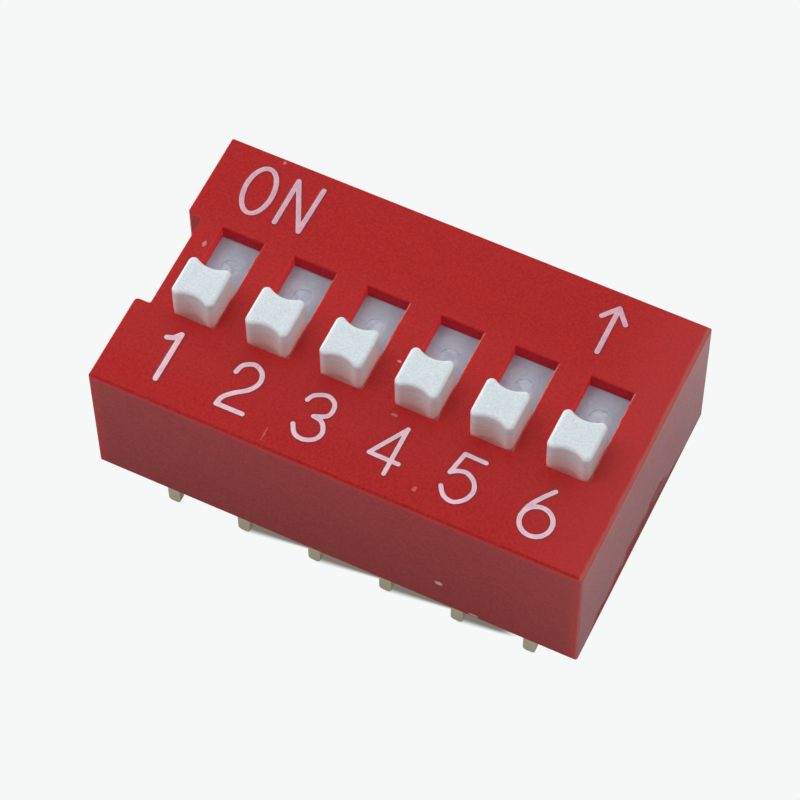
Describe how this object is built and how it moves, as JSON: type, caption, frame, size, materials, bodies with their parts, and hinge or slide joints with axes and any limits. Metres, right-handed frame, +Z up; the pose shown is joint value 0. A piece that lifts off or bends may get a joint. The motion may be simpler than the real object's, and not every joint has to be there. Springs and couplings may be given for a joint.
{
  "type": "dip switch",
  "caption": "Slide-type DIP switch for a printed circuit board: a moulded cover with a row of slide actuators in windows, over a base with two rows of flat solder pins.",
  "frame": {"origin": "centre of the board seat: on the plane of the cover's bottom rim, which rests on the circuit board, midway between the two rows of pins and midway along them", "axes": "+X along the row of switches, from switch 1 to the last; +Y across the row, from the OFF side to the ON side; +Z up, away from the board"},
  "size_m": [0.0166, 0.0098, 0.0092],
  "materials": {
    "cover_plastic": "satin moulded",
    "legend_ink": "printed",
    "slider_plastic": "fine matt moulded",
    "base_plastic": "matt moulded",
    "resin": "cast, slightly glossy",
    "tinned_strip": "tin plated, dull",
    "gilt_spring": "gold plated"
  },
  "bodies": {
    "housing": {"cover": "cover_plastic", "base": "base_plastic", "bottom_seal": "resin", "front_terminal_1": "tinned_strip", "front_terminal_2": "tinned_strip", "front_terminal_3": "tinned_strip", "front_terminal_4": "tinned_strip", "front_terminal_5": "tinned_strip", "front_terminal_6": "tinned_strip", "back_terminal_1": "tinned_strip", "back_terminal_2": "tinned_strip", "back_terminal_3": "tinned_strip", "back_terminal_4": "tinned_strip", "back_terminal_5": "tinned_strip", "back_terminal_6": "tinned_strip"},
    "actuator_1": {"slider_1": "slider_plastic", "contact_1": "gilt_spring"},
    "actuator_2": {"slider_2": "slider_plastic", "contact_2": "gilt_spring"},
    "actuator_3": {"slider_3": "slider_plastic", "contact_3": "gilt_spring"},
    "actuator_4": {"slider_4": "slider_plastic", "contact_4": "gilt_spring"},
    "actuator_5": {"slider_5": "slider_plastic", "contact_5": "gilt_spring"},
    "actuator_6": {"slider_6": "slider_plastic", "contact_6": "gilt_spring"}
  },
  "joints": [
    {"name": "slide_1", "type": "slide", "parent": "housing", "child": "actuator_1", "axis": [0, 1, 0], "range_m": [0, 0.00196]},
    {"name": "slide_2", "type": "slide", "parent": "housing", "child": "actuator_2", "axis": [0, 1, 0], "range_m": [0, 0.00196]},
    {"name": "slide_3", "type": "slide", "parent": "housing", "child": "actuator_3", "axis": [0, 1, 0], "range_m": [0, 0.00196]},
    {"name": "slide_4", "type": "slide", "parent": "housing", "child": "actuator_4", "axis": [0, 1, 0], "range_m": [0, 0.00196]},
    {"name": "slide_5", "type": "slide", "parent": "housing", "child": "actuator_5", "axis": [0, 1, 0], "range_m": [0, 0.00196]},
    {"name": "slide_6", "type": "slide", "parent": "housing", "child": "actuator_6", "axis": [0, 1, 0], "range_m": [0, 0.00196]}
  ]
}
